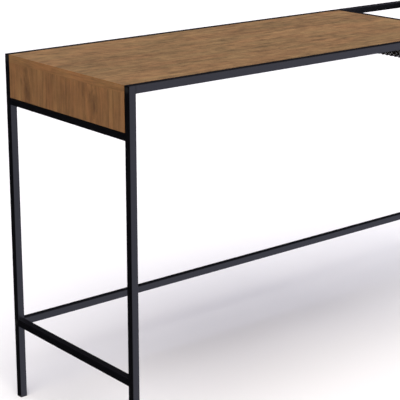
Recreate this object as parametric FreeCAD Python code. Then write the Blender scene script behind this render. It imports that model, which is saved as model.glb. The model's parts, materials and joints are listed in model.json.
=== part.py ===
"""Writing desk: black square-tube frame, flush oak worktop and two mesh drawers in an open bay.

Millimetres, +Z up. The origin is on the floor under the middle of the desk, +X runs to the
desk's right, and -Y points at the person who sits at it.
"""

import FreeCAD
import Part
import math
import os

# Overall size and the two sections everything is made from.
LENGTH = 1500.0
DEPTH = 440.0
HEIGHT = 780.0
TUBE = 16.0
TUBE_WALL = 1.2
TUBE_CORNER = 1.2
GAP = 0.4

# Levels and places of the frame's members.
WORKTOP_LENGTH = 974.0
PANEL_DROP = 92.0
FOOT_BAR_TOP = 186.0
GLIDE_HEIGHT = 4.0
PLUG_CHAMFER = 1.0
EDGE_BAND = 0.8

# Bolted corners.
BOLT_R = 2.95
BOLT_HOLE_R = 3.2
BOLT_HEAD_R = 5.0
BOLT_HEAD = 6.0
BOLT_LENGTH = 18.0
SOCKET_R = 2.9
NUT_LENGTH = 10.0
ACCESS_R = 5.75
COVER_LIP_R = 6.2
COVER_LIP = 1.0
CLEARANCE = 0.05

# Wood screws, by the length of shank below the head, and dowels.
SCREW_R = 1.9
SCREW_HOLE_R = 2.0
SCREW_HEAD_R = 3.3
SCREW_HEAD = 2.4
SCREW_TIP_GAP = 0.5
CROSS_SLOT = (4.0, 0.8, 1.0)
PANEL_SCREW = TUBE + 20.0
WORKTOP_SCREW = 12.0
BRACKET_SCREW = 10.0
RUNNER_TUBE_SCREW = 8.0
RUNNER_PANEL_SCREW = 12.0
FRONT_SCREW_BITE = 10.0
DOWEL_R = 3.0
DOWEL_UP = 8.0
DOWEL_DOWN = 14.0
DOWEL_TIP_GAP = 0.2

# Sheet-metal tabs and brackets under the worktop, and where screws and dowels stand.
TAB = 1.5
TAB_WIDTH = 40.0
TAB_CORNER = 3.0
TAB_SCREW_INSET = 12.0
TAB_PAST_SCREW = 10.0
TAB_REACH = 20.0
BAY_TAB_REACH = 13.0
BAY_TAB_INSET = 10.0
BAY_TAB_Y = 110.0
FIRST_TAB_SHARE = 0.155
TAB_STEP_SHARE = 0.345
BRACKET = 25.0
BRACKET_WIDTH = 30.0
BRACKET_THICKNESS = 2.0
BRACKET_SCREW_SHARE = 0.6
BRACKET_Y = 60.0
PANEL_SCREW_Y = 130.0
DOWEL_Y = 150.0

# Drawer runners: a hanging web with a channel that the drawer's rim slides in.
SHEET = 1.2
CHANNEL_DEPTH = 10.0
RIM_WIDTH = 12.0
RIM_HEIGHT = 8.0
RIM_WALL = 1.0
RIM_TOP = HEIGHT - 50.0
RUNNER_SIDE_GAP = 1.0
RUNNER_UNDER_GAP = 0.4
RUNNER_OVER_GAP = 0.6
TRAVEL = 260.0
STOP_GAP = 1.0
LUG_WIDTH = 2.2
LUG_LENGTH = 12.0
LUG_HEIGHT = 8.0
STOP_TAB = 3.0
RUNNER_SCREW_INSET = 60.0
SIDE_FLANGE = 18.0
STOP_OVERHANG = 0.5
LUG_INSET = 0.1
BUFFER_GAP = 0.5
BUFFER_SETBACK = 1.0

# Drawers.
DRAWER_BOTTOM = HEIGHT - 98.0
FRONT_WIDTH = 250.0
FRONT_GAP = 2.0
MESH = 1.2
MESH_LONG = 14.0
MESH_SHORT = 10.0
MESH_STRAND = 2.0
MESH_BORDER = 1.0
MESH_END_GAP = 0.5
BACK_CLEARANCE = 8.0
FLOOR_LAP = 0.3
LOWER_BAR = 3.0
LOWER_BAR_HEIGHT = 12.0
NOTCH_WIDTH = 80.0
NOTCH_DEPTH = 14.0
NOTCH_CORNER = 12.0
LINER = 1.0
FRONT_EDGE = 0.6
FRONT_SCREW_INSET = 25.0
LOWER_SCREW_HEIGHT = 7.0

X_LEFT = -LENGTH / 2
X_RIGHT = LENGTH / 2
Y_FRONT = -DEPTH / 2
Y_BACK = DEPTH / 2
X_IN_LEFT = X_LEFT + TUBE
X_IN_RIGHT = X_RIGHT - TUBE
Y_IN_FRONT = Y_FRONT + TUBE
Y_IN_BACK = Y_BACK - TUBE
Z_UNDER_TOP = HEIGHT - TUBE
PANEL_BOTTOM = HEIGHT - PANEL_DROP
FOOT_BAR_BOTTOM = FOOT_BAR_TOP - TUBE

BAY_X = X_LEFT + WORKTOP_LENGTH
RIM_BOTTOM = RIM_TOP - RIM_HEIGHT
CHANNEL_BOTTOM = RIM_BOTTOM - RUNNER_UNDER_GAP - SHEET
CHANNEL_TOP = RIM_TOP + RUNNER_OVER_GAP + SHEET
CENTRE_GAP_X = X_IN_RIGHT - FRONT_GAP - FRONT_WIDTH - FRONT_GAP / 2
LEFT_WEB_X = 2 * CENTRE_GAP_X - (X_IN_RIGHT - SHEET)
DRAWER_WIDTH = CENTRE_GAP_X - SHEET - LEFT_WEB_X - 2 * RUNNER_SIDE_GAP
RUNNER_FRONT = Y_IN_FRONT + FRONT_GAP
RUNNER_BACK = Y_IN_BACK - FRONT_GAP
RIM_BACK = Y_IN_BACK - BACK_CLEARANCE

X_AXIS = FreeCAD.Vector(1, 0, 0)
Y_AXIS = FreeCAD.Vector(0, 1, 0)
Z_AXIS = FreeCAD.Vector(0, 0, 1)


def box(x0, x1, y0, y1, z0, z1):
    """A closed box between two corners."""
    return Part.makeBox(x1 - x0, y1 - y0, z1 - z0, FreeCAD.Vector(x0, y0, z0))


def rod(radius, start, end):
    """A cylinder between two points."""
    start = FreeCAD.Vector(*start)
    run = FreeCAD.Vector(*end) - start
    return Part.makeCylinder(radius, run.Length, start, run)


def edges_along(shape, axis):
    """The straight edges of a shape that run along an axis."""
    found = []
    for edge in shape.Edges:
        run = edge.Vertexes[-1].Point - edge.Vertexes[0].Point
        if run.Length > 0 and abs(run.dot(axis)) > 0.999 * run.Length:
            found.append(edge)
    return found


def tube(x0, x1, y0, y1, z0, z1, axis, wall=TUBE_WALL, corner=TUBE_CORNER):
    """A rectangular tube, open at both ends, with its long outer corners rounded."""
    outer = box(x0, x1, y0, y1, z0, z1)
    outer = outer.makeFillet(corner, edges_along(outer, axis))
    inset = [0.0 if part else wall for part in (axis.x, axis.y, axis.z)]
    inner = box(
        x0 + inset[0], x1 - inset[0], y0 + inset[1], y1 - inset[1], z0 + inset[2], z1 - inset[2]
    )
    return outer.cut(inner)


def screw(seat, direction, length):
    """A pan-head screw: its head sits on a surface at seat, its shank runs along direction."""
    seat = FreeCAD.Vector(*seat)
    direction = FreeCAD.Vector(*direction)
    head = Part.makeCylinder(SCREW_HEAD_R, SCREW_HEAD, seat - direction * SCREW_HEAD, direction)
    rim = [edge for edge in head.Edges if edge.Closed]
    crown = min(rim, key=lambda edge: edge.CenterOfMass.dot(direction))
    head = head.makeFillet(SCREW_HEAD / 3, [crown])
    length_across, width, depth = CROSS_SLOT
    slot = Part.makeBox(
        width, length_across, depth, FreeCAD.Vector(-width / 2, -length_across / 2, 0)
    )
    cross = slot.fuse(slot.rotated(FreeCAD.Vector(), Z_AXIS, 90))
    cross.Placement = FreeCAD.Placement(
        seat - direction * SCREW_HEAD, FreeCAD.Rotation(Z_AXIS, direction)
    )
    shank = Part.makeCylinder(SCREW_R, length, seat, direction)
    return head.cut(cross).fuse(shank).removeSplitter()


def screw_hole(seat, direction, length):
    """The hole that a screw of this length needs."""
    return Part.makeCylinder(
        SCREW_HOLE_R, length + SCREW_TIP_GAP, FreeCAD.Vector(*seat), FreeCAD.Vector(*direction)
    )


# --- frame -------------------------------------------------------------------------------------


def bolt_heights(y0):
    """Heights of the bolts in a leg: every leg has one at the top, back legs one low down."""
    heights = [HEIGHT - TUBE / 2]
    if y0 > 0:
        heights.append(FOOT_BAR_TOP - TUBE / 2)
    return heights


def legs():
    """Four legs, each drilled for its rail bolts and for the access holes opposite them."""
    nodes = {}
    for side, x0 in (("left", X_LEFT), ("right", X_IN_RIGHT)):
        for end, y0 in (("front", Y_FRONT), ("back", Y_IN_BACK)):
            leg = tube(x0, x0 + TUBE, y0, y0 + TUBE, GLIDE_HEIGHT, HEIGHT, Z_AXIS)
            middle = y0 + TUBE / 2
            outer_x, inner_x = (x0, x0 + TUBE) if side == "left" else (x0 + TUBE, x0)
            half_x = x0 + TUBE / 2
            for z in bolt_heights(y0):
                leg = leg.cut(rod(ACCESS_R, (outer_x, middle, z), (half_x, middle, z)))
                leg = leg.cut(rod(BOLT_HOLE_R, (inner_x, middle, z), (half_x, middle, z)))
            nodes[f"leg_{end}_{side}"] = leg
    return nodes


def leg_ends():
    """Steel plates that close the leg tops, and plastic glides plugged into the leg feet."""
    caps = []
    glides = []
    for x0 in (X_LEFT, X_IN_RIGHT):
        for y0 in (Y_FRONT, Y_IN_BACK):
            x_in, x_out = x0 + TUBE_WALL, x0 + TUBE - TUBE_WALL
            y_in, y_out = y0 + TUBE_WALL, y0 + TUBE - TUBE_WALL
            caps.append(box(x_in, x_out, y_in, y_out, HEIGHT - TUBE_WALL, HEIGHT))
            foot = box(x0, x0 + TUBE, y0, y0 + TUBE, 0, GLIDE_HEIGHT)
            foot = foot.makeFillet(TUBE_CORNER, edges_along(foot, Z_AXIS))
            plug_top = GLIDE_HEIGHT + TUBE
            plug = box(x_in, x_out, y_in, y_out, GLIDE_HEIGHT, plug_top)
            top_edges = [edge for edge in plug.Edges if edge.CenterOfMass.z > plug_top - CLEARANCE]
            glides.append(foot.fuse(plug.makeChamfer(PLUG_CHAMFER, top_edges)))
    return {"leg_top_caps": Part.makeCompound(caps), "foot_glides": Part.makeCompound(glides)}


def long_rail(y0, z0):
    """A tube that runs between the left and right legs."""
    return tube(X_IN_LEFT, X_IN_RIGHT, y0, y0 + TUBE, z0, z0 + TUBE, X_AXIS)


def long_rails():
    """The three rails between the end frames: front top, back top and low back."""
    return {
        "front_top_rail": long_rail(Y_FRONT, Z_UNDER_TOP),
        "back_top_rail": long_rail(Y_IN_BACK, Z_UNDER_TOP),
        "back_lower_rail": long_rail(Y_IN_BACK, FOOT_BAR_BOTTOM),
    }


def cross_member(x0, z0):
    """A tube that runs from front to back between the legs or rails."""
    return tube(x0, x0 + TUBE, Y_IN_FRONT, Y_IN_BACK, z0, z0 + TUBE, Y_AXIS)


def cross_members():
    """End-frame bars and the three top tubes of the drawer bay, drilled for what they carry."""
    nodes = {
        "bay_cross_tube": cross_member(BAY_X, Z_UNDER_TOP),
        "bay_centre_tube": cross_member(CENTRE_GAP_X - TUBE / 2, Z_UNDER_TOP),
        "right_end_top_tube": cross_member(X_IN_RIGHT, Z_UNDER_TOP),
    }
    for side, x0 in (("left", X_LEFT), ("right", X_IN_RIGHT)):
        nodes[f"{side}_panel_rail"] = cross_member(x0, PANEL_BOTTOM - TUBE)
        nodes[f"{side}_foot_bar"] = cross_member(x0, FOOT_BAR_BOTTOM)
    for side, seat in panel_rail_screw_seats():
        through = rod(SCREW_HOLE_R, seat, (seat[0], seat[1], seat[2] + TUBE))
        nodes[f"{side}_panel_rail"] = nodes[f"{side}_panel_rail"].cut(through)
    for name, seats in runner_screw_seats().items():
        if name == "right_side_panel":
            continue
        for seat in seats:
            nodes[name] = nodes[name].cut(screw_hole(seat, (0, 0, 1), TUBE_WALL * 2))
    for seat in panel_dowel_seats():
        if seat[0] > 0:
            nodes["right_end_top_tube"] = nodes["right_end_top_tube"].cut(dowel_pocket(seat))
    return nodes


def bolted_corners():
    """Threaded end blocks in the rails, the bolts that pull them to the legs, and cover caps."""
    nuts = []
    bolts = []
    covers = []
    inset = TUBE_WALL
    for sign in (-1, 1):
        for y0 in (Y_FRONT, Y_IN_BACK):
            middle = y0 + TUBE / 2
            for z in bolt_heights(y0):
                face = sign * X_IN_RIGHT
                ends = sorted((face, face - sign * NUT_LENGTH))
                block = box(
                    ends[0], ends[1], y0 + inset, y0 + TUBE - inset,
                    z - TUBE / 2 + inset, z + TUBE / 2 - inset,
                )
                thread = rod(BOLT_R + CLEARANCE, (ends[0], middle, z), (ends[1], middle, z))
                nuts.append(block.cut(thread))
                seat = face + sign * TUBE_WALL
                head_end = seat + sign * BOLT_HEAD
                head = rod(BOLT_HEAD_R, (seat, middle, z), (head_end, middle, z))
                shank = rod(BOLT_R, (seat, middle, z), (seat - sign * BOLT_LENGTH, middle, z))
                bolts.append(head.fuse(shank).cut(hex_socket(head_end, middle, z, sign)))
                outside = sign * X_RIGHT
                wall = outside - sign * TUBE_WALL
                cover = rod(ACCESS_R - CLEARANCE, (outside, middle, z), (wall, middle, z))
                lip = rod(COVER_LIP_R, (wall, middle, z), (wall - sign * COVER_LIP, middle, z))
                covers.append(cover.fuse(lip))
    return {
        "rail_end_nuts": Part.makeCompound(nuts),
        "frame_bolts": Part.makeCompound(bolts),
        "bolt_cover_caps": Part.makeCompound(covers),
    }


def hex_socket(x, y, z, sign):
    """The hexagonal recess in a bolt head that faces +X or -X."""
    points = []
    for i in range(7):
        angle = math.radians(60 * i)
        across, up = SOCKET_R * math.cos(angle), SOCKET_R * math.sin(angle)
        points.append(FreeCAD.Vector(x, y + across, z + up))
    return Part.Face(Part.makePolygon(points)).extrude(X_AXIS * (-sign * BOLT_HEAD / 2))


# --- boards ------------------------------------------------------------------------------------


def worktop_tab_places():
    """(x, y, direction from the screw to the tube) of each tab that holds the worktop."""
    places = []
    for i in range(3):
        x = X_LEFT + WORKTOP_LENGTH * (FIRST_TAB_SHARE + TAB_STEP_SHARE * i)
        places.append((x, Y_IN_FRONT + TAB_SCREW_INSET, (0, -1)))
        places.append((x, Y_IN_BACK - TAB_SCREW_INSET, (0, 1)))
    for y in (-BAY_TAB_Y, BAY_TAB_Y):
        places.append((BAY_X - BAY_TAB_INSET, y, (1, 0)))
    return places


def worktop_tab(x, y, dx, dy):
    """A tab around a screw at (x, y) that reaches (dx, dy) under the tube it is welded to."""
    half = TAB_WIDTH / 2
    reach = TAB_REACH if dy else BAY_TAB_REACH
    corner_a = (x - TAB_PAST_SCREW * dx - half * abs(dy), y - TAB_PAST_SCREW * dy - half * abs(dx))
    corner_b = (x + reach * dx + half * abs(dy), y + reach * dy + half * abs(dx))
    xs = sorted((corner_a[0], corner_b[0]))
    ys = sorted((corner_a[1], corner_b[1]))
    plate = box(xs[0], xs[1], ys[0], ys[1], Z_UNDER_TOP - TAB, Z_UNDER_TOP)
    plate = plate.makeFillet(TAB_CORNER, edges_along(plate, Z_AXIS))
    return plate.cut(rod(SCREW_HOLE_R, (x, y, Z_UNDER_TOP - TAB), (x, y, Z_UNDER_TOP)))


def worktop_parts():
    """The worktop, its edge bands, and the welded tabs and screws that hold it from below."""
    y0, y1 = Y_IN_FRONT + GAP, Y_IN_BACK - GAP
    x0, x1 = X_LEFT, BAY_X - GAP
    board = box(x0 + EDGE_BAND, x1 - EDGE_BAND, y0, y1, Z_UNDER_TOP, HEIGHT)
    bands = [
        box(x0, x0 + EDGE_BAND, y0, y1, Z_UNDER_TOP, HEIGHT),
        box(x1 - EDGE_BAND, x1, y0, y1, Z_UNDER_TOP, HEIGHT),
    ]
    tabs = []
    screws = []
    for x, y, (dx, dy) in worktop_tab_places():
        tabs.append(worktop_tab(x, y, dx, dy))
        seat = (x, y, Z_UNDER_TOP - TAB)
        screws.append(screw(seat, (0, 0, 1), WORKTOP_SCREW))
        board = board.cut(screw_hole(seat, (0, 0, 1), WORKTOP_SCREW))
    for seat in panel_dowel_seats():
        if seat[0] < 0:
            board = board.cut(dowel_pocket(seat))
    for place in bracket_places():
        board = board.cut(screw_hole(place["up"], (0, 0, 1), BRACKET_SCREW))
    return {
        "worktop": board,
        "worktop_edge_bands": Part.makeCompound(bands),
        "worktop_tabs": Part.makeCompound(tabs),
        "worktop_screws": Part.makeCompound(screws),
    }


def panel_rail_screw_seats():
    """Where the screws that hold the side panels enter the underside of their rails."""
    seats = []
    for side, x in (("left", X_LEFT + TUBE / 2), ("right", X_RIGHT - TUBE / 2)):
        for y in (-PANEL_SCREW_Y, PANEL_SCREW_Y):
            seats.append((side, (x, y, PANEL_BOTTOM - TUBE)))
    return seats


def panel_dowel_seats():
    """Points on the side panels' top edges where dowels stand."""
    seats = []
    for x in (X_LEFT + TUBE / 2, X_RIGHT - TUBE / 2):
        for y in (-DOWEL_Y, DOWEL_Y):
            seats.append((x, y, Z_UNDER_TOP))
    return seats


def dowel_pocket(seat):
    """The blind hole above a seat that the top half of a dowel stands in."""
    return rod(DOWEL_R, seat, (seat[0], seat[1], seat[2] + DOWEL_UP + DOWEL_TIP_GAP))


def bracket_places():
    """Screw seats of the two angle brackets between the left panel and the worktop."""
    places = []
    for y in (-BRACKET_Y, BRACKET_Y):
        along = BRACKET * BRACKET_SCREW_SHARE
        up = (X_IN_LEFT + along, y, Z_UNDER_TOP - BRACKET_THICKNESS)
        out = (X_IN_LEFT + BRACKET_THICKNESS, y, Z_UNDER_TOP - along)
        places.append({"y": y, "up": up, "out": out})
    return places


def panel_brackets():
    """The two angle brackets and the screws that fix them to the panel and the worktop."""
    brackets = []
    screws = []
    for place in bracket_places():
        x, z = X_IN_LEFT, Z_UNDER_TOP
        y0, y1 = place["y"] - BRACKET_WIDTH / 2, place["y"] + BRACKET_WIDTH / 2
        flat = box(x, x + BRACKET, y0, y1, z - BRACKET_THICKNESS, z)
        upright = box(x, x + BRACKET_THICKNESS, y0, y1, z - BRACKET, z)
        angle = flat.fuse(upright).removeSplitter()
        for seat, way in ((place["up"], (0, 0, 1)), (place["out"], (-1, 0, 0))):
            angle = angle.cut(screw_hole(seat, way, BRACKET_THICKNESS))
            screws.append(screw(seat, way, BRACKET_SCREW))
        brackets.append(angle)
    return {
        "panel_brackets": Part.makeCompound(brackets),
        "panel_bracket_screws": Part.makeCompound(screws),
    }


def side_panels():
    """The two boards between the legs, with their dowels and screws."""
    y0, y1 = Y_IN_FRONT + GAP, Y_IN_BACK - GAP
    panels = {
        "left": box(X_LEFT, X_IN_LEFT, y0, y1, PANEL_BOTTOM, Z_UNDER_TOP),
        "right": box(X_IN_RIGHT, X_RIGHT, y0, y1, PANEL_BOTTOM, Z_UNDER_TOP),
    }
    rail_screws = []
    for side, seat in panel_rail_screw_seats():
        rail_screws.append(screw(seat, (0, 0, 1), PANEL_SCREW))
        panels[side] = panels[side].cut(screw_hole(seat, (0, 0, 1), PANEL_SCREW))
    dowels = []
    for x, y, z in panel_dowel_seats():
        side = "left" if x < 0 else "right"
        dowels.append(rod(DOWEL_R - CLEARANCE, (x, y, z - DOWEL_DOWN), (x, y, z + DOWEL_UP)))
        pocket = rod(DOWEL_R, (x, y, z - DOWEL_DOWN - DOWEL_TIP_GAP), (x, y, z))
        panels[side] = panels[side].cut(pocket)
    for place in bracket_places():
        panels["left"] = panels["left"].cut(screw_hole(place["out"], (-1, 0, 0), BRACKET_SCREW))
    for seat in runner_screw_seats()["right_side_panel"]:
        panels["right"] = panels["right"].cut(screw_hole(seat, (1, 0, 0), RUNNER_PANEL_SCREW))
    return {
        "left_side_panel": panels["left"],
        "right_side_panel": panels["right"],
        "panel_rail_screws": Part.makeCompound(rail_screws),
        "panel_dowels": Part.makeCompound(dowels),
    }


# --- drawer runners ----------------------------------------------------------------------------

# name: (web's outer face, way the channel opens, what holds it up)
RUNNERS = {
    "runner_bay_left": (LEFT_WEB_X - SHEET, 1, "bay_cross_tube"),
    "runner_centre_left": (CENTRE_GAP_X, -1, "bay_centre_tube"),
    "runner_centre_right": (CENTRE_GAP_X, 1, "bay_centre_tube"),
    "runner_bay_right": (X_IN_RIGHT, -1, "right_side_panel"),
}


def hanger_flange_end(name):
    """How far a runner's top flange reaches under its tube."""
    web, way, _ = RUNNERS[name]
    if name == "runner_bay_left":
        return BAY_X + TUBE
    return web + way * TUBE / 2


def runner_screw_seats():
    """Under each holder, the points where the runner screws' heads sit, less the sheet."""
    seats = {}
    for name, (web, way, holder) in RUNNERS.items():
        for y in (RUNNER_FRONT + RUNNER_SCREW_INSET, RUNNER_BACK - RUNNER_SCREW_INSET):
            if holder == "right_side_panel":
                seat = (X_IN_RIGHT, y, CHANNEL_TOP + SIDE_FLANGE / 2)
            else:
                x = (web + way * SHEET + hanger_flange_end(name)) / 2
                seat = (x, y, Z_UNDER_TOP)
            seats.setdefault(holder, []).append(seat)
    return seats


def folded_runner(name):
    """One runner's web, channel, top flange and stop tab, before its screw holes."""
    web, way, holder = RUNNERS[name]
    inner = web + way * SHEET
    mouth = inner + way * CHANNEL_DEPTH
    hung = holder != "right_side_panel"
    top = Z_UNDER_TOP if hung else CHANNEL_TOP + SIDE_FLANGE
    shape = y_plate(web, inner, CHANNEL_BOTTOM, top)
    shape = shape.fuse(y_plate(inner, mouth, CHANNEL_BOTTOM, CHANNEL_BOTTOM + SHEET))
    shape = shape.fuse(y_plate(inner, mouth, CHANNEL_TOP - SHEET, CHANNEL_TOP))
    if hung:
        flange_end = hanger_flange_end(name)
        shape = shape.fuse(y_plate(inner, flange_end, Z_UNDER_TOP - SHEET, Z_UNDER_TOP))
    return shape.fuse(stop_tab(inner, way)).removeSplitter()


def runners():
    """The four runners with their screws and rubber buffers."""
    nodes = {}
    screws = []
    buffers = []
    for name, (web, way, holder) in RUNNERS.items():
        hung = holder != "right_side_panel"
        shape = folded_runner(name)
        for x, y, z in runner_seats_of(name):
            if hung:
                head, drive, length = (x, y, z - SHEET), (0, 0, 1), RUNNER_TUBE_SCREW
            else:
                head, drive, length = (x - SHEET, y, z), (1, 0, 0), RUNNER_PANEL_SCREW
            shape = shape.cut(screw_hole(head, drive, SHEET))
            screws.append(screw(head, drive, length))
        nodes[name] = shape
        inner = web + way * SHEET
        xs = sorted((inner, inner + way * (CHANNEL_DEPTH - BUFFER_SETBACK)))
        z0, z1 = CHANNEL_BOTTOM + SHEET, CHANNEL_TOP - SHEET
        buffers.append(box(xs[0], xs[1], RIM_BACK + BUFFER_GAP, RUNNER_BACK, z0, z1))
    nodes["runner_screws"] = Part.makeCompound(screws)
    nodes["runner_buffers"] = Part.makeCompound(buffers)
    return nodes


def runner_seats_of(name):
    """The two screw seats that belong to one runner."""
    web, way, holder = RUNNERS[name]
    seats = runner_screw_seats()[holder]
    if holder == "right_side_panel":
        return seats
    return [seat for seat in seats if (seat[0] - web) * way > 0]


def y_plate(xa, xb, z0, z1):
    """A strip of sheet along the whole runner."""
    xs = sorted((xa, xb))
    return box(xs[0], xs[1], RUNNER_FRONT, RUNNER_BACK, z0, z1)


def stop_tab(inner, way):
    """The tab above a channel that the drawer's lug meets when it is fully out."""
    reach = inner + way * (RUNNER_SIDE_GAP + RIM_WIDTH + STOP_OVERHANG)
    xs = sorted((inner, reach))
    y_end = RIM_BACK - LUG_LENGTH - TRAVEL - STOP_GAP
    return box(xs[0], xs[1], y_end - STOP_TAB, y_end, CHANNEL_TOP, CHANNEL_TOP + LUG_HEIGHT)


# --- drawers -----------------------------------------------------------------------------------


def diamond_holes(long_length, short_length):
    """Centres of the whole diamonds that fit a sheet, in a staggered grid from its middle."""
    centres = []
    long_half = MESH_LONG / 2
    short_half = MESH_SHORT / 2
    columns = int(long_length / long_half)
    rows = int(short_length / short_half)
    for i in range(-columns, columns + 1):
        for j in range(-rows, rows + 1):
            u, v = i * long_half, j * short_half
            inside_long = abs(u) + long_half <= long_length / 2 + MESH_BORDER
            inside_short = abs(v) + short_half <= short_length / 2 + MESH_BORDER
            if (i + j) % 2 == 0 and inside_long and inside_short:
                centres.append((u, v))
    return centres


def mesh_sheet(middle, long_axis, short_axis, long_length, short_length):
    """A flat sheet of diamond mesh centred on a point, with a plain border."""
    cell_width = MESH_LONG * MESH_SHORT / math.hypot(MESH_LONG, MESH_SHORT)
    shrink = (cell_width - MESH_STRAND) / cell_width
    a, b = MESH_LONG / 2 * shrink, MESH_SHORT / 2 * shrink

    def outline(centre, corners):
        points = [centre + long_axis * u + short_axis * v for u, v in corners]
        return Part.makePolygon(points + points[:1])

    half_u, half_v = long_length / 2, short_length / 2
    rim = [(-half_u, -half_v), (half_u, -half_v), (half_u, half_v), (-half_u, half_v)]
    wires = [outline(middle, rim)]
    for u, v in diamond_holes(long_length, short_length):
        wires.append(outline(middle, [(u - a, v), (u, v - b), (u + a, v), (u, v + b)]))
    normal = long_axis.cross(short_axis)
    face = Part.Face(wires)
    return face.extrude(normal * MESH).translated(normal * (-MESH / 2))


def notch(x_middle, grow):
    """The finger notch in a drawer front's top edge, made smaller all round by -grow."""
    top = Z_UNDER_TOP - FRONT_GAP
    cut = box(
        x_middle - NOTCH_WIDTH / 2 - grow, x_middle + NOTCH_WIDTH / 2 + grow,
        Y_FRONT, Y_IN_FRONT, top - NOTCH_DEPTH - grow, HEIGHT,
    )
    lower = [edge for edge in edges_along(cut, Y_AXIS) if edge.CenterOfMass.z < top]
    return cut.makeFillet(NOTCH_CORNER + grow, lower)


def rim_side_bars(x0, x1):
    """The two bars that run in the channels, each with the lug that meets the stop tab."""
    nodes = {}
    inner_left, inner_right = x0 + RIM_WIDTH, x1 - RIM_WIDTH
    lug_left, lug_right = inner_left - LUG_WIDTH - LUG_INSET, inner_right + LUG_INSET
    for hand, x, lug_x in (("left", x0, lug_left), ("right", inner_right, lug_right)):
        bar = tube(
            x, x + RIM_WIDTH, Y_IN_FRONT, RIM_BACK, RIM_BOTTOM, RIM_TOP, Y_AXIS, RIM_WALL, RIM_WALL
        )
        lug = box(
            lug_x, lug_x + LUG_WIDTH, RIM_BACK - LUG_LENGTH, RIM_BACK, RIM_TOP, RIM_TOP + LUG_HEIGHT
        )
        nodes[f"rim_{hand}_bar"] = bar.fuse(lug)
    return nodes


def rim_cross_bar(x0, x1, y0):
    """A bar between the side bars of a drawer's rim."""
    return tube(x0, x1, y0, y0 + RIM_HEIGHT, RIM_BOTTOM, RIM_TOP, X_AXIS, RIM_WALL, RIM_WALL)


def front_board(x_front):
    """A drawer front with its finger notch, and the steel liner of the notch."""
    z_top = Z_UNDER_TOP - FRONT_GAP
    blank = box(x_front, x_front + FRONT_WIDTH, Y_FRONT, Y_IN_FRONT, DRAWER_BOTTOM, z_top)
    face_edges = [edge for edge in blank.Edges if edge.CenterOfMass.y < Y_FRONT + CLEARANCE]
    middle = x_front + FRONT_WIDTH / 2
    opening = notch(middle, 0)
    liner = opening.cut(notch(middle, -LINER)).common(blank)
    return blank.makeFillet(FRONT_EDGE, face_edges).cut(opening), liner


def drawer(side, x_outer, x_front, mesh):
    """One mesh drawer: its rim starts at x_outer and its front board at x_front."""
    x0, x1 = x_outer + RIM_WIDTH, x_outer + DRAWER_WIDTH - RIM_WIDTH
    board, liner = front_board(x_front)
    front_bar = rim_cross_bar(x0, x1, Y_IN_FRONT)
    lower_bar = box(
        x0 - FLOOR_LAP, x1 + FLOOR_LAP, Y_IN_FRONT, Y_IN_FRONT + LOWER_BAR,
        DRAWER_BOTTOM, DRAWER_BOTTOM + LOWER_BAR_HEIGHT,
    )
    screws = []
    towards_front = (0, -1, 0)
    for x in (x0 + FRONT_SCREW_INSET, x1 - FRONT_SCREW_INSET):
        upper = (x, Y_IN_FRONT + RIM_HEIGHT, RIM_TOP - RIM_HEIGHT / 2)
        lower = (x, Y_IN_FRONT + LOWER_BAR, DRAWER_BOTTOM + LOWER_SCREW_HEIGHT)
        front_bar = front_bar.cut(screw_hole(upper, towards_front, RIM_HEIGHT))
        lower_bar = lower_bar.cut(screw_hole(lower, towards_front, LOWER_BAR))
        for seat, bar_depth in ((upper, RIM_HEIGHT), (lower, LOWER_BAR)):
            length = bar_depth + FRONT_SCREW_BITE
            screws.append(screw(seat, towards_front, length))
            board = board.cut(screw_hole(seat, towards_front, length))
    nodes = {
        "front": board,
        "pull_liner": liner,
        "rim_front_bar": front_bar,
        "rim_back_bar": rim_cross_bar(x0, x1, RIM_BACK - RIM_HEIGHT),
        "lower_front_bar": lower_bar,
        "front_screws": Part.makeCompound(screws),
    }
    nodes.update(rim_side_bars(x_outer, x_outer + DRAWER_WIDTH))
    for name, sheet in mesh.items():
        nodes[name] = sheet.translated(FreeCAD.Vector(x_outer, 0, 0))
    return {f"drawer_{side}_{name}": shape for name, shape in nodes.items()}


def drawer_mesh():
    """Floor, two sides and back of diamond mesh, welded under a rim that starts at x = 0."""
    floor_x0 = RIM_WIDTH - FLOOR_LAP
    floor_x1 = DRAWER_WIDTH - RIM_WIDTH + FLOOR_LAP
    wall_front = Y_IN_FRONT + MESH_END_GAP
    wall_back = RIM_BACK - MESH_END_GAP
    wall_height = RIM_BOTTOM - DRAWER_BOTTOM
    wall_z = DRAWER_BOTTOM + wall_height / 2
    floor_front = Y_IN_FRONT + LOWER_BAR
    floor_back = wall_back - MESH
    floor_middle = FreeCAD.Vector(
        (floor_x0 + floor_x1) / 2, (floor_front + floor_back) / 2, DRAWER_BOTTOM + MESH / 2
    )
    sheets = {
        "mesh_floor": mesh_sheet(
            floor_middle, Y_AXIS, X_AXIS, floor_back - floor_front, floor_x1 - floor_x0
        ),
        "mesh_back": mesh_sheet(
            FreeCAD.Vector((floor_x0 + floor_x1) / 2, wall_back - MESH / 2, wall_z),
            X_AXIS, Z_AXIS, floor_x1 - floor_x0, wall_height,
        ),
    }
    for hand, x in (("left", floor_x0 - MESH / 2), ("right", floor_x1 + MESH / 2)):
        middle = FreeCAD.Vector(x, (wall_front + wall_back) / 2, wall_z)
        wall_length = wall_back - wall_front
        sheets[f"mesh_{hand}"] = mesh_sheet(middle, Y_AXIS, Z_AXIS, wall_length, wall_height)
    return sheets


def drawers():
    """The two drawers, side by side."""
    mesh = drawer_mesh()
    left_rim = LEFT_WEB_X + RUNNER_SIDE_GAP
    right_rim = CENTRE_GAP_X + SHEET + RUNNER_SIDE_GAP
    nodes = drawer("left", left_rim, CENTRE_GAP_X - FRONT_GAP / 2 - FRONT_WIDTH, mesh)
    nodes.update(drawer("right", right_rim, CENTRE_GAP_X + FRONT_GAP / 2, mesh))
    return nodes


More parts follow.
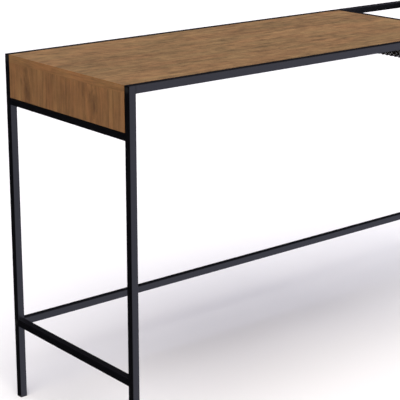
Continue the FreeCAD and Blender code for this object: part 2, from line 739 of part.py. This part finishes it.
def build():
    """Every sub-part by node name."""
    nodes = {}
    for group in (
        legs, leg_ends, long_rails, cross_members, bolted_corners, worktop_parts, side_panels,
        panel_brackets, runners, drawers,
    ):
        nodes.update(group())
    return nodes


os.makedirs("parts", exist_ok=True)
for node, shape in build().items():
    shape.exportStep(f"parts/{node}.step")
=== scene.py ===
"""Looks for a writing desk: black powder-coated tube frame, oak melamine boards and two drawers of
folded expanded metal. Metres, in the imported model's frame: +X along the desk, -Y to the sitter."""

import json
import math

import bmesh
import bpy
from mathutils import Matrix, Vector


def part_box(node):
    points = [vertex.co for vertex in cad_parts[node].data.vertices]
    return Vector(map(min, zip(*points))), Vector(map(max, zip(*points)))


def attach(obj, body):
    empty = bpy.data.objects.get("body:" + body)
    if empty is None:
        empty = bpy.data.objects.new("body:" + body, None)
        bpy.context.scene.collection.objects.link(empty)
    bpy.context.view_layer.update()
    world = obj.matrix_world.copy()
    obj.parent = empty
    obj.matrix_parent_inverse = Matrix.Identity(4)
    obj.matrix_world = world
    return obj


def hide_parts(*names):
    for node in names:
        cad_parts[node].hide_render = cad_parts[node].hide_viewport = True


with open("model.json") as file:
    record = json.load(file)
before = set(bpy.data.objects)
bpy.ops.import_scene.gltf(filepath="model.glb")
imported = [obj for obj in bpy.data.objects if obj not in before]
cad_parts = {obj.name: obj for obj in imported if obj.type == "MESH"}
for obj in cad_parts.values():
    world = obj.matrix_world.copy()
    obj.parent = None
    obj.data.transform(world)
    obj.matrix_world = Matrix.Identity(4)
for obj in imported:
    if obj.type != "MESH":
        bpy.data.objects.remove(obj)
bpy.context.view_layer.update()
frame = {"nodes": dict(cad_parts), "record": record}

MM = 0.001

# Camera: from the left front corner, a little above the top, looking along and down the desk.
CAMERA_PLACE = (-2.213, -2.209, 1.297)
CAMERA_HEADING = math.radians(50.6)
CAMERA_PITCH = math.radians(14.61)
CAMERA_LENS = 121.6
CAMERA_SHIFT_Y = -0.12
CAMERA_REACH = 200

# Studio: a broad key light, and surroundings that brighten towards the front and overhead. Each
# direction points from the desk to the light. A range is (from low, from high, to low, to high).
KEY_TOWARDS = (-0.28, -0.38, 0.88)
KEY_STRENGTH = 2.6
KEY_ANGLE = math.radians(50)
KEY_COLOUR = (1.0, 0.97, 0.94)
FRONT_TOWARDS = (0.45, -0.88, -0.15)
FRONT_RANGE = (0.1, 0.8, 0.02, 1.15)
SKY_RANGE = (0.7, 0.95, 0.0, 1.6)
STUDIO_COLOUR = (0.82, 0.83, 1.05, 1)
BACKDROP_COLOUR = (1.0, 1.0, 1.0, 1)
FLOOR_COLOUR = (0.9, 0.885, 0.83, 1)
FLOOR_HALF = 40.0

# Mean colours of the wood on the top, on the upright boards and in the dowels; the upright boards'
# oak is the top's oak made darker and warmer as painted shade.
TOP_OAK = (0.226, 0.128, 0.052)
SHADED_SIDE_OAK = (0.24, 0.111, 0.034)
BEECH = (0.56, 0.38, 0.21)

# Noise layers of the grain, each (waves a metre along the grain, waves a metre across it, detail,
# roughness), and how strong they are.
SWAY = (1.3, 6.0, 2.0, 0.5)
PLANK = (1.4, 11.0, 3.0, 0.6)
MOTTLE = (26.0, 46.0, 4.0, 0.7)
STREAK = (6.0, 130.0, 3.0, 0.65)
FIBRE = (16.0, 520.0, 3.0, 0.7)
PORES = (55.0, 1700.0, 1.0, 0.5)
VEIN = (2.2, 190.0, 1.0, 0.5)
BLUSH = (9.0, 26.0, 2.0, 0.5)
CRUMBLE = (90.0, 260.0, 3.0, 0.7)
SWAY_REACH = 0.02
PLANK_SHARE = 0.16
FIBRE_SHARE = 0.24
MOTTLE_AND_STREAK_SHARE = 0.6
VEIN_RANGE = (0.66, 0.74, 0.0, 0.4)
PORE_RANGE = (0.6, 0.7, 0.0, 0.4)
OAK_ROUGHNESS_RANGE = (0.2, 0.8, 0.5, 0.64)
CRUMBLE_REACH = 0.45
KNOT_CORE_RANGE = (0.45, 0.95, 0.0, 0.5)
KNOT_STRETCH = 0.45
GRAIN_TURN = {"x": (0, 0, 0), "y": (0, 0, -math.pi / 2), "z": (0, math.pi / 2, 0)}

# Each board's knots, as (place, size) in metres.
KNOTS = {
    "left_side_panel": (
        ((-0.75, 0.138, 0.708), 0.03),
        ((-0.75, -0.105, 0.722), 0.034),
    ),
    "worktop": (
        ((-0.66, 0.15, 0.78), 0.022),
        ((-0.3, -0.1, 0.78), 0.028),
        ((0.06, 0.09, 0.78), 0.024),
        ((0.13, -0.13, 0.78), 0.02),
    ),
    "drawer_left_front": (((0.29, -0.22, 0.72), 0.022),),
    "drawer_right_front": (((0.66, -0.22, 0.705), 0.018),),
    "right_side_panel": (((0.75, -0.07, 0.72), 0.032),),
}

# Expanded metal: half the mesh's long and short way, its strand, the drawer's folded edges, and how
# far the drawer's walls reach up into its rim.
MESH_HALF_LONG = 7.0 * MM
MESH_HALF_SHORT = 4.9 * MM
STRAND_WIDTH = 2.3 * MM
STRAND_THICKNESS = 0.9 * MM
STRAND_TILT = math.radians(23)
BOND_HALF_LENGTH = 1.5 * MM
FOLD_RADIUS = 2.6 * MM
WALL_INTO_RIM = 1.0 * MM


# --- node trees ----------------------------------------------------------------------------------


class NodeTree:
    """Short calls for building the nodes of a material or of the surroundings."""

    def __init__(self, owner):
        owner.use_nodes = True
        self.nodes = owner.node_tree.nodes
        self.links = owner.node_tree.links

    def put(self, socket, value):
        """Links a socket to another node's output, or sets it to a plain value."""
        if hasattr(value, "is_output"):
            self.links.new(value, socket)
        else:
            socket.default_value = value

    def new(self, kind, **sockets):
        """A node with some of its sockets set or linked; an underscore stands for a space."""
        node = self.nodes.new("ShaderNode" + kind)
        for name, value in sockets.items():
            self.put(node.inputs[name.replace("_", " ")], value)
        return node

    def math(self, operation, a, b):
        node = self.new("Math")
        node.operation = operation
        self.put(node.inputs[0], a)
        self.put(node.inputs[1], b)
        return node.outputs[0]

    def vector(self, operation, a, b):
        """A sum of vectors, or the number that a distance or a dot product is."""
        node = self.new("VectorMath")
        node.operation = operation
        self.put(node.inputs[0], a)
        self.put(node.inputs[1], b)
        return node.outputs["Vector" if operation == "ADD" else "Value"]

    def range(self, value, low, high, to_low, to_high, smooth=False):
        node = self.new("MapRange", Value=value)
        node.interpolation_type = "SMOOTHSTEP" if smooth else "LINEAR"
        node.inputs["From Min"].default_value = low
        node.inputs["From Max"].default_value = high
        node.inputs["To Min"].default_value = to_low
        node.inputs["To Max"].default_value = to_high
        return node.outputs["Result"]


class Shader(NodeTree):
    """One material, with calls for the patterns and sockets of its surface."""

    def __init__(self, name):
        self.material = bpy.data.materials.new(name)
        super().__init__(self.material)
        self.surface = self.nodes["Principled BSDF"]

    def set(self, socket, value):
        self.put(self.surface.inputs[socket], value)

    def mapped(self, vector, scale, shift=(0, 0, 0), turn=(0, 0, 0)):
        """Coordinates that are moved, turned and stretched."""
        node = self.new("Mapping", Vector=vector)
        node.inputs["Location"].default_value = shift
        node.inputs["Rotation"].default_value = turn
        node.inputs["Scale"].default_value = scale
        return node.outputs[0]

    def place(self, scale, shift=(0, 0, 0), turn=(0, 0, 0)):
        """The desk's own coordinates, moved, turned and stretched."""
        return self.mapped(self.new("TexCoord").outputs["Object"], scale, shift, turn)

    def noise(self, vector, scale=1.0, detail=2.0, roughness=0.5):
        node = self.new("TexNoise", Vector=vector, Scale=scale, Detail=detail, Roughness=roughness)
        return node.outputs["Fac"]

    def layer(self, vector, layer):
        """One noise layer of the grain, which runs along X of the vector."""
        along, across, detail, roughness = layer
        return self.noise(self.mapped(vector, (along, across, across)), 1.0, detail, roughness)

    def ramp(self, value, *stops):
        """A colour ramp; each stop is (position, colour)."""
        node = self.new("ValToRGB", Fac=value)
        elements = node.color_ramp.elements
        while len(elements) < len(stops):
            elements.new(0.5)
        for element, (position, colour) in zip(elements, stops):
            element.position = position
            element.color = colour
        return node.outputs["Color"]

    def mix(self, share, a, b, mode="MIX"):
        """Colour b laid over colour a."""
        node = self.new("Mix")
        node.data_type = "RGBA"
        node.blend_type = mode
        factor, colour_a, colour_b = (node.inputs[k] for k in (0, 6, 7))
        self.put(factor, share)
        self.put(colour_a, a)
        self.put(colour_b, b)
        return node.outputs[2]

    def knot(self, place, size, grain):
        """1 at a knot's middle, falling to 0 over its size, and longer along the grain."""
        scale = [1.0 / size] * 3
        scale["xyz".index(grain)] = KNOT_STRETCH / size
        centre = tuple(c * k for c, k in zip(place, scale))
        distance = self.vector("DISTANCE", self.place(scale), centre)
        return self.range(distance, 0.0, 1.0, 1.0, 0.0)

    def bump(self, height, distance, strength):
        node = self.new("Bump", Height=height, Distance=distance, Strength=strength)
        self.set("Normal", node.outputs[0])


def times(colour, share):
    """A colour made lighter or darker, with its alpha."""
    return (*(share * c for c in colour), 1.0)


# --- camera, light and floor ---------------------------------------------------------------------


def add_object(name, data):
    added = bpy.data.objects.new(name, data)
    bpy.context.scene.collection.objects.link(added)
    return added


def mesh_object(name, bm, material):
    """An object made from a finished bmesh."""
    mesh = bpy.data.meshes.new(name)
    bm.to_mesh(mesh)
    bm.free()
    mesh.materials.append(material)
    return add_object(name, mesh)


def make_camera():
    """The camera, turned to its heading and tilted down."""
    level = math.cos(CAMERA_PITCH)
    along_x = math.cos(CAMERA_HEADING) * level
    along_y = math.sin(CAMERA_HEADING) * level
    look = Vector((along_x, along_y, -math.sin(CAMERA_PITCH)))
    data = bpy.data.cameras.new("camera")
    data.lens = CAMERA_LENS
    data.shift_y = CAMERA_SHIFT_Y
    data.clip_end = CAMERA_REACH
    camera = add_object("camera", data)
    camera.location = CAMERA_PLACE
    camera.rotation_euler = look.to_track_quat("-Z", "Y").to_euler()
    bpy.context.scene.camera = camera


def make_key_light():
    """A broad soft light from above, in front and to the left."""
    data = bpy.data.lights.new("key", "SUN")
    data.energy = KEY_STRENGTH
    data.angle = KEY_ANGLE
    data.color = KEY_COLOUR
    light = add_object("key", data)
    light.rotation_euler = Vector(KEY_TOWARDS).to_track_quat("Z", "Y").to_euler()


def make_world():
    """Soft surroundings: bright in front and overhead, dark behind, white where seen directly."""
    world = bpy.data.worlds.new("studio")
    bpy.context.scene.world = world
    tree = NodeTree(world)
    tree.nodes.clear()
    direction = tree.new("TexCoord").outputs["Generated"]
    frontness = tree.vector("DOT_PRODUCT", direction, FRONT_TOWARDS)
    height = tree.new("SeparateXYZ", Vector=direction).outputs["Z"]
    front = tree.range(frontness, *FRONT_RANGE, smooth=True)
    sky = tree.range(height, *SKY_RANGE, smooth=True)
    strength = tree.math("ADD", front, sky)
    light = tree.new("Background", Color=STUDIO_COLOUR, Strength=strength)
    backdrop = tree.new("Background", Color=BACKDROP_COLOUR)
    seen = tree.new("MixShader", Fac=tree.new("LightPath").outputs["Is Camera Ray"])
    tree.put(seen.inputs[1], light.outputs[0])
    tree.put(seen.inputs[2], backdrop.outputs[0])
    tree.new("OutputWorld", Surface=seen.outputs[0])


def make_floor():
    """A pale floor, kept out of mirror reflections so that the paint stays as dark as it is."""
    s = Shader("floor")
    s.set("Base Color", FLOOR_COLOUR)
    s.set("Roughness", 0.9)
    s.set("Specular IOR Level", 0.1)
    bm = bmesh.new()
    bmesh.ops.create_grid(bm, x_segments=4, y_segments=4, size=FLOOR_HALF)
    floor = mesh_object("floor", bm, s.material)
    floor.visible_glossy = False


# --- materials -----------------------------------------------------------------------------------


def oak(name, grain, shift, mean, knots=(), contrast=0.44, mottling=0.2):
    """Oak melamine with its grain along one axis. Each knot is (place, size) in the desk's frame.
    Contrast is how far the grain goes to either side of the mean colour, and mottling is the share
    of short blotches in it, against long streaks."""
    s = Shader(name)
    straight = s.place((1.0, 1.0, 1.0), shift, GRAIN_TURN[grain])
    nearness = [(s.knot(place, size, grain), size) for place, size in knots]
    bent = bend_grain(s, straight, nearness)
    fibre = s.layer(bent, FIBRE)
    pores = s.layer(bent, PORES)

    tone = grain_tone(s, bent, fibre, mean, contrast, mottling)
    tone = s.mix(1.0, tone, blush_tint(s, straight), "MULTIPLY")
    tone = s.mix(s.range(s.layer(bent, VEIN), *VEIN_RANGE), tone, times(mean, 0.45))
    tone = s.mix(s.range(pores, *PORE_RANGE), tone, times(mean, 0.4))
    if knots:
        tone = s.mix(knot_cores(s, straight, nearness), tone, times(mean, 0.3))
    s.set("Base Color", tone)
    s.set("Roughness", s.range(fibre, *OAK_ROUGHNESS_RANGE))
    s.set("Specular IOR Level", 0.3)
    relief = s.math("SUBTRACT", fibre, s.math("MULTIPLY", pores, 0.6))
    s.bump(relief, distance=0.08 * MM, strength=0.5)
    return s.material


def bend_grain(s, straight, nearness):
    """The board's coordinates once its grain sways, and bends aside at its knots."""
    sway = s.range(s.layer(straight, SWAY), 0.0, 1.0, -SWAY_REACH, SWAY_REACH)
    for near, size in nearness:
        sway = s.math("ADD", sway, s.range(near, 0.0, 1.0, 0.0, size / 2))
    offset = s.new("CombineXYZ", X=0.0, Y=sway, Z=sway)
    return s.vector("ADD", straight, offset.outputs[0])


def knot_cores(s, straight, nearness):
    """How much the knots' ragged cores darken the board."""
    crumble = s.range(s.layer(straight, CRUMBLE), 0.0, 1.0, -CRUMBLE_REACH, CRUMBLE_REACH)
    core = 0.0
    for near, _ in nearness:
        ragged = s.math("ADD", near, crumble)
        core = s.math("MAXIMUM", core, s.range(ragged, *KNOT_CORE_RANGE))
    return core


def grain_tone(s, bent, fibre, mean, contrast, mottling):
    """The oak's colour, darker and lighter with its boards, blotches, streaks and fibres."""
    layers = (
        (s.layer(bent, PLANK), PLANK_SHARE),
        (s.layer(bent, MOTTLE), mottling),
        (s.layer(bent, STREAK), MOTTLE_AND_STREAK_SHARE - mottling),
        (fibre, FIBRE_SHARE),
    )
    depth = 0.0
    for layer, share in layers:
        depth = s.math("ADD", depth, s.math("MULTIPLY", layer, share))
    dark, light = times(mean, 1 - contrast), times(mean, 1 + contrast)
    return s.ramp(depth, (0.38, dark), (0.5, times(mean, 1)), (0.62, light))


def blush_tint(s, straight):
    """Broad patches that are a little cooler or warmer in colour than the rest."""
    cooler, warmer = (0.97, 1.02, 1.02, 1), (1.04, 0.98, 0.98, 1)
    return s.ramp(s.layer(straight, BLUSH), (0.35, cooler), (0.65, warmer))


def paint(name, colour, roughness, grain_size, depth, gloss=0.5):
    """Powder coat: fine orange peel and a slight unevenness of sheen."""
    s = Shader(name)
    peel = s.noise(s.place((1, 1, 1)), 1.0 / grain_size)
    cloud = s.noise(s.place((9, 9, 9)), detail=3.0)
    cloudy = s.range(cloud, 0.3, 0.7, roughness - 0.04, roughness + 0.04)
    sheen = s.math("ADD", cloudy, s.range(peel, 0.3, 0.7, -0.02, 0.02))
    s.set("Base Color", s.ramp(cloud, (0.3, times(colour, 0.8)), (0.7, times(colour, 1.25))))
    s.set("Roughness", sheen)
    s.set("Specular IOR Level", gloss)
    s.bump(peel, depth, 0.6)
    return s.material


def zinc(name, colour, roughness):
    """Zinc-plated steel with a faint cloudy finish."""
    s = Shader(name)
    cloud = s.noise(s.place((400, 400, 400)), detail=3.0)
    s.set("Base Color", s.ramp(cloud, (0.3, times(colour, 0.8)), (0.7, times(colour, 1))))
    s.set("Roughness", s.range(cloud, 0.2, 0.8, roughness - 0.08, roughness + 0.08))
    s.set("Metallic", 1.0)
    s.bump(cloud, distance=0.03 * MM, strength=0.4)
    return s.material


def slot_materials():
    """The materials of the record's slots, apart from oak."""
    frame_black, mesh_black = (0.0022, 0.0021, 0.0029), (0.002, 0.002, 0.0024)
    return {
        "frame_steel": paint("frame_paint", frame_black, 0.34, 0.9 * MM, 0.05 * MM),
        "mesh_steel": paint("mesh_paint", mesh_black, 0.46, 1.2 * MM, 0.06 * MM, gloss=0.3),
        "black_plastic": paint("black_plastic", (0.012,) * 3, 0.55, 0.4 * MM, 0.03 * MM),
        "rubber": paint("rubber", (0.015,) * 3, 0.8, 0.6 * MM, 0.04 * MM),
        "zinc_steel": zinc("zinc_steel", (0.62, 0.62, 0.64), 0.35),
        "beech": oak("beech", "z", (3.0, 1.0, 0.0), BEECH),
    }


def board_materials():
    """The oak of each board, by its node; shift is where in the pattern the board was cut."""
    # The edge bands here and the upright boards below get the oak made darker and warmer as painted
    # shade.
    boards = {
        "worktop": oak(
            "oak_worktop",
            "x",
            (0.0, 0.0, 0.0),
            TOP_OAK,
            KNOTS["worktop"],
            contrast=0.55,
            mottling=0.36,
        ),
        "worktop_edge_bands": oak("oak_edge", "y", (1.3, 0.4, 0.2), SHADED_SIDE_OAK),
    }
    for node, grain, shift in (
        ("left_side_panel", "z", (0.7, 2.1, 0.3)),
        ("right_side_panel", "z", (1.9, 3.7, 0.6)),
        ("drawer_left_front", "x", (2.2, 0.8, 1.1)),
        ("drawer_right_front", "x", (3.1, 1.7, 1.9)),
    ):
        boards[node] = oak(f"oak_{node}", grain, shift, SHADED_SIDE_OAK, KNOTS[node])
    return boards


def dress_nodes(by_slot, by_node):
    """Gives each CAD node its own material, or else that of its slot."""
    for row in frame["record"]["subparts"]:
        name = row["node"]
        material = by_node.get(name) or by_slot[row["material_slot"]]
        mesh = frame["nodes"][name].data
        mesh.materials.clear()
        mesh.materials.append(material)


# --- expanded metal ------------------------------------------------------------------------------


def expanded_metal(name, place, long_count, short_count, short_step, material):
    """A sheet of expanded metal. place(u, v) gives a point of the sheet and its outward normal; u
    runs along the mesh's long way and v along its short way."""
    bm = bmesh.new()
    bonds = {}
    for i in range(long_count + 1):
        for j in range(i % 2, short_count + 1, 2):
            bonds[i, j] = bond_corners(bm, place, i * MESH_HALF_LONG, j * short_step)
    for i, j in bonds:
        skin_bond(bm, bonds[i, j])
        add_strand(bm, bonds, i, j, 1)
        add_strand(bm, bonds, i, j, -1)
    bmesh.ops.recalc_face_normals(bm, faces=bm.faces)
    return mesh_object(name, bm, material)


def bond_corners(bm, place, u, v):
    """The corners of a bond, where strands meet, by (a, b, c): a is -1 or 1 along the long way, b
    is -1, 0 or 1 across the two strands' widths, and c is -1 or 1 through the thickness."""
    corners = {}
    for a in (-1, 1):
        for b in (-1, 0, 1):
            for c in (-1, 1):
                wide = b * STRAND_WIDTH
                deep = c * STRAND_THICKNESS / 2
                across = wide * math.cos(STRAND_TILT) - deep * math.sin(STRAND_TILT)
                out = wide * math.sin(STRAND_TILT) + deep * math.cos(STRAND_TILT)
                point, normal = place(u + a * BOND_HALF_LENGTH, v + across)
                corners[a, b, c] = bm.verts.new(point + normal * out)
    return corners


def skin_bond(bm, corner):
    """A bond's two wide faces, in halves, and its two edges."""
    for b in (-1, 0):
        for c in (-1, 1):
            places = ((-1, b, c), (1, b, c), (1, b + 1, c), (-1, b + 1, c))
            quad(bm, c, [corner[place] for place in places])
    for b in (-1, 1):
        places = ((-1, b, -1), (1, b, -1), (1, b, 1), (-1, b, 1))
        quad(bm, -b, [corner[place] for place in places])


def add_strand(bm, bonds, i, j, rise):
    """The strand to the next bond along the long way, which lies up or down by rise, and a flat end
    on either side where the sheet ends instead."""
    half = 0 if rise == 1 else -1
    near = half_face(bonds[i, j], 1, half)
    other = bonds.get((i + 1, j + rise))
    if other is None:
        bm.faces.new(near)
    else:
        far = half_face(other, -1, -1 - half)
        for k in range(4):
            bm.faces.new((near[k], near[k - 1], far[k - 1], far[k]))
    if (i - 1, j + rise) not in bonds:
        bm.faces.new(reversed(half_face(bonds[i, j], -1, half)))


def half_face(corner, a, b):
    """The four corners of one half of a bond's end face."""
    return (corner[a, b, -1], corner[a, b + 1, -1], corner[a, b + 1, 1], corner[a, b, 1])


def quad(bm, side, corners):
    """A face whose corners run the other way round for a negative side."""
    bm.faces.new(corners if side > 0 else corners[::-1])


def fit_rows(length):
    """An even number of half short ways that fills a length, and the step that it takes."""
    count = 2 * round(length / MESH_HALF_SHORT / 2)
    return count, length / count


def fold_profile(run, wall):
    """A left wall folded into a floor, followed for a run down from the wall's top: the point
    there, as its distances right of and above that top, and the outward normal."""
    bend = FOLD_RADIUS * math.pi / 2
    if run < wall:
        return (0.0, -run), (-1.0, 0.0)
    if run < wall + bend:
        turn = (run - wall) / FOLD_RADIUS
        normal = (-math.cos(turn), -math.sin(turn))
        return (FOLD_RADIUS * (1 + normal[0]), FOLD_RADIUS * normal[1] - wall), normal
    return (FOLD_RADIUS + run - wall - bend, -wall - FOLD_RADIUS), (0.0, -1.0)


def folded_tray(side, material):
    """Left wall, floor and right wall of a drawer, as one folded sheet of expanded metal."""
    nodes = [f"drawer_{side}_mesh_{part}" for part in ("left", "floor", "right")]
    left, floor, right = (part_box(node) for node in nodes)
    x_left = (left[0].x + left[1].x) / 2
    x_right = (right[0].x + right[1].x) / 2
    y_front = floor[0].y + BOND_HALF_LENGTH
    z_top = left[1].z + WALL_INTO_RIM
    wall = z_top - floor[0].z - STRAND_WIDTH - FOLD_RADIUS
    total = x_right - x_left + 2 * wall + (math.pi - 2) * FOLD_RADIUS
    short_count, short_step = fit_rows(total)
    long_count = int((floor[1].y - y_front) / MESH_HALF_LONG)

    def place(u, v):
        mirrored = v > total / 2
        (x, z), (normal_x, normal_z) = fold_profile(total - v if mirrored else v, wall)
        x += x_left
        if mirrored:
            x = x_left + x_right - x
            normal_x = -normal_x
        return Vector((x, y_front + u, z_top + z)), Vector((normal_x, 0, normal_z))

    piece = expanded_metal(
        f"drawer_{side}_tray", place, long_count, short_count, short_step, material
    )
    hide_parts(*nodes)
    return piece


def back_mesh(side, material):
    """The drawer's back wall of expanded metal."""
    node = f"drawer_{side}_mesh_back"
    low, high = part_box(node)
    y = (low.y + high.y) / 2
    z_low = low.z + STRAND_WIDTH
    short_count, short_step = fit_rows(high.z + WALL_INTO_RIM - z_low)
    long_count = int((high.x - low.x) / MESH_HALF_LONG)
    x_first = (low.x + high.x - long_count * MESH_HALF_LONG) / 2

    def place(u, v):
        return Vector((x_first + u, y, z_low + v)), Vector((0, 1, 0))

    piece = expanded_metal(
        f"drawer_{side}_back", place, long_count, short_count, short_step, material
    )
    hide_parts(node)
    return piece


def make_drawer_meshes(material):
    """The expanded metal of both drawers."""
    for side in ("left", "right"):
        for piece in (folded_tray(side, material), back_mesh(side, material)):
            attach(piece, f"drawer_{side}")


# --- the scene -----------------------------------------------------------------------------------

bpy.context.scene.view_settings.view_transform = "Standard"
make_camera()
make_world()
make_key_light()
make_floor()
slots = slot_materials()
dress_nodes(slots, board_materials())
make_drawer_meshes(slots["mesh_steel"])
